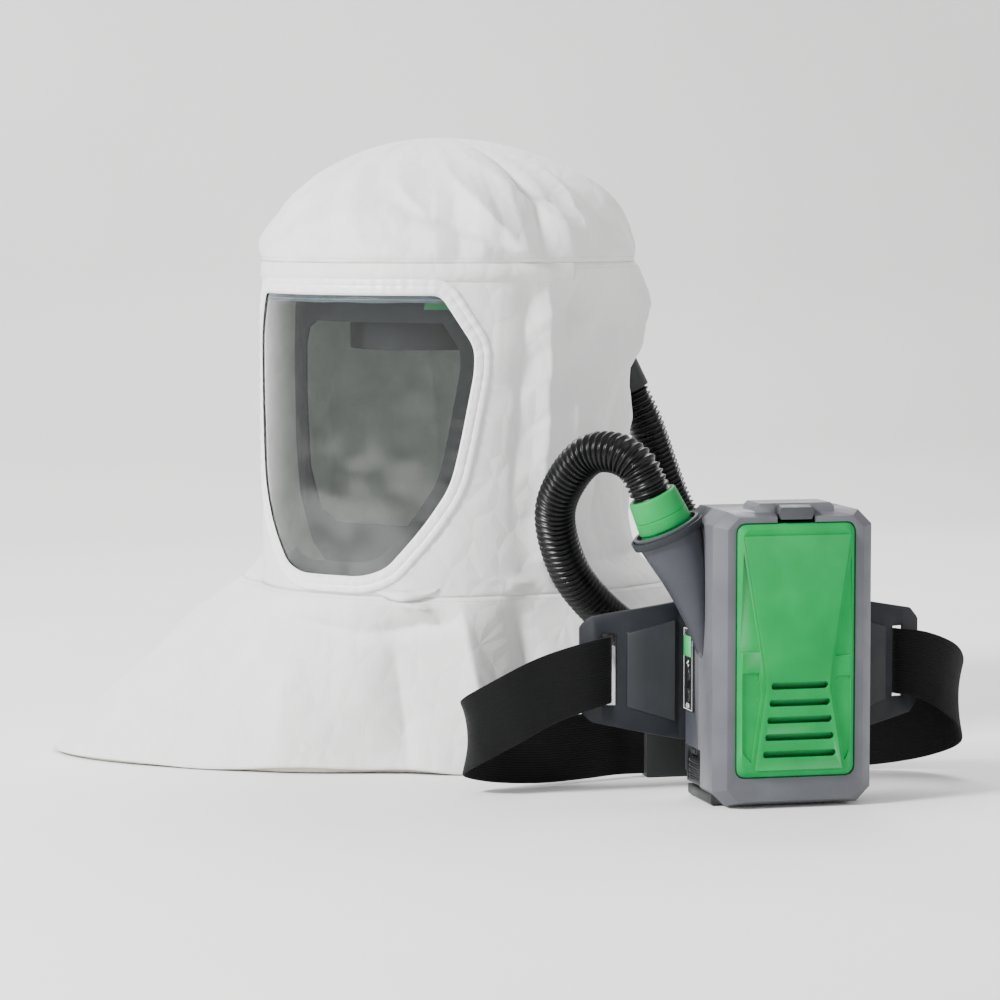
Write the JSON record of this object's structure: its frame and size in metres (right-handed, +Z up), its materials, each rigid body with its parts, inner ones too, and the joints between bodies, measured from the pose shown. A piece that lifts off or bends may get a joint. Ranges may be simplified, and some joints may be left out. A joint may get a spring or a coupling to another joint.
{
  "type": "powered air respirator",
  "caption": "Fabric hood with a clear wrap-round visor, fed through a corrugated hose by a belt-worn blower unit with a hinged filter cover.",
  "frame": {"origin": "middle of the whole part's footprint, on the surface it stands on", "axes": "+Z up; -Y is the way the blower's filter cover faces; +X to the right seen from there"},
  "size_m": [0.6853, 0.5416, 0.5108],
  "materials": {
    "hood_fabric": "matte coated nonwoven",
    "bib_fabric": "matte nonwoven",
    "clear_visor": "clear polished sheet",
    "white_binding": "satin",
    "frame_grey": "fine moulded texture",
    "case_light_grey": "fine moulded texture",
    "case_mid_grey": "fine moulded texture",
    "cover_green": "satin",
    "panel_black": "gloss",
    "black_plastic": "satin",
    "hose_rubber": "glossy",
    "belt_webbing": "woven polyester",
    "filter_media": "pleated paper",
    "seal_rubber": "matte",
    "foam_black": "brushed foam",
    "board_green": "solder resist",
    "bright_steel": "satin"
  },
  "bodies": {
    "root": {"front_shell": "case_light_grey", "rear_shell": "case_mid_grey", "prefilter": "filter_media", "particle_filter": "filter_media", "filter_seal": "seal_rubber", "scroll_housing": "black_plastic", "motor": "bright_steel", "circuit_board": "board_green", "base_foot": "black_plastic", "status_panel": "panel_black", "status_window": "cover_green", "outlet_funnel": "case_mid_grey", "outlet_trim": "frame_grey", "outlet_seal": "seal_rubber", "belt_plate": "frame_grey", "case_screw_1": "bright_steel", "case_screw_2": "bright_steel", "case_screw_3": "bright_steel", "case_screw_4": "bright_steel", "crown_panel": "hood_fabric", "front_panel": "hood_fabric", "right_side_panel": "hood_fabric", "back_panel": "hood_fabric", "left_side_panel": "hood_fabric", "cape_front": "hood_fabric", "cape_right": "hood_fabric", "cape_back": "hood_fabric", "cape_left": "hood_fabric", "inner_bib": "bib_fabric", "visor_lens": "clear_visor", "visor_binding": "white_binding", "face_frame": "frame_grey", "visor_clip": "cover_green", "headband": "black_plastic", "sweatband": "foam_black", "crown_strap": "black_plastic", "hood_inlet": "black_plastic", "air_duct": "bib_fabric", "webbing_left": "belt_webbing", "webbing_right": "belt_webbing", "buckle_socket": "black_plastic", "buckle_plug": "black_plastic", "breathing_hose": "hose_rubber"},
    "fan": {"impeller": "black_plastic", "motor_shaft": "bright_steel"},
    "cover": {"filter_cover": "cover_green"},
    "latch": {"cover_latch": "case_mid_grey"},
    "battery": {"battery_pack": "black_plastic"},
    "battery_catch": {"battery_latch": "black_plastic"},
    "power_key": {"power_button": "panel_black"},
    "airflow_key": {"airflow_button": "panel_black"},
    "cuff_at_blower": {"blower_cuff": "cover_green"},
    "cuff_at_hood": {"hood_cuff": "black_plastic"},
    "nape": {"nape_band": "black_plastic"},
    "knob": {"ratchet_knob": "black_plastic"},
    "prong_upper": {"buckle_prong_upper": "black_plastic"},
    "prong_lower": {"buckle_prong_lower": "black_plastic"},
    "slider": {"belt_slider": "black_plastic"}
  },
  "joints": [
    {"name": "fan_spin", "type": "hinge", "parent": "root", "child": "fan", "pos_m": [0.1666, -0.2133, 0.128], "axis": [0, 1, 0], "continuous": true},
    {"name": "cover_swing", "type": "hinge", "parent": "root", "child": "cover", "pos_m": [0.1606, -0.2688, 0.0245], "axis": [1, 0, 0], "range_deg": [0, 80]},
    {"name": "latch_press", "type": "slide", "parent": "root", "child": "latch", "axis": [0, 0, -1], "range_m": [0, 0.002], "stiffness_N_per_m": 600},
    {"name": "battery_slide", "type": "slide", "parent": "root", "child": "battery", "axis": [-1, 0, 0], "range_m": [0, 0.108]},
    {"name": "battery_latch_press", "type": "slide", "parent": "battery", "child": "battery_catch", "axis": [0, 0, -1], "range_m": [0, 0.0015], "stiffness_N_per_m": 500},
    {"name": "power_press", "type": "slide", "parent": "root", "child": "power_key", "axis": [1, 0, 0], "range_m": [0, 0.0008], "stiffness_N_per_m": 500},
    {"name": "airflow_press", "type": "slide", "parent": "root", "child": "airflow_key", "axis": [1, 0, 0], "range_m": [0, 0.0008], "stiffness_N_per_m": 500},
    {"name": "blower_cuff_twist", "type": "hinge", "parent": "root", "child": "cuff_at_blower", "pos_m": [0.0736, -0.2123, 0.212], "axis": [-0.4226, 0, 0.9063], "range_deg": [0, 60]},
    {"name": "hood_cuff_twist", "type": "hinge", "parent": "root", "child": "cuff_at_hood", "pos_m": [0.15042, 0.1954, 0.31642], "axis": [0.4337, -0.0586, -0.8991], "range_deg": [-90, 90]},
    {"name": "nape_slide", "type": "slide", "parent": "root", "child": "nape", "axis": [-0.766, -0.6428, 0], "range_m": [0, 0.014]},
    {"name": "knob_turn", "type": "hinge", "parent": "nape", "child": "knob", "pos_m": [0.06766, 0.18848, 0.352], "axis": [0.766, 0.6428, 0], "range_deg": [0, 270]},
    {"name": "prong_upper_flex", "type": "hinge", "parent": "root", "child": "prong_upper", "pos_m": [0.1316, -0.0858, 0.047], "axis": [0, 1, 0], "range_deg": [-8, 0], "stiffness_Nm_per_rad": 0.4},
    {"name": "prong_lower_flex", "type": "hinge", "parent": "root", "child": "prong_lower", "pos_m": [0.1316, -0.0858, 0.01], "axis": [0, 1, 0], "range_deg": [0, 8], "stiffness_Nm_per_rad": 0.4},
    {"name": "slider_move", "type": "slide", "parent": "root", "child": "slider", "axis": [1, 0, 0], "range_m": [-0.012, 0.02]}
  ],
  "couplings": [
    {"joint": "knob_turn", "follows": "nape_slide", "rad_per_m": 336.6}
  ]
}
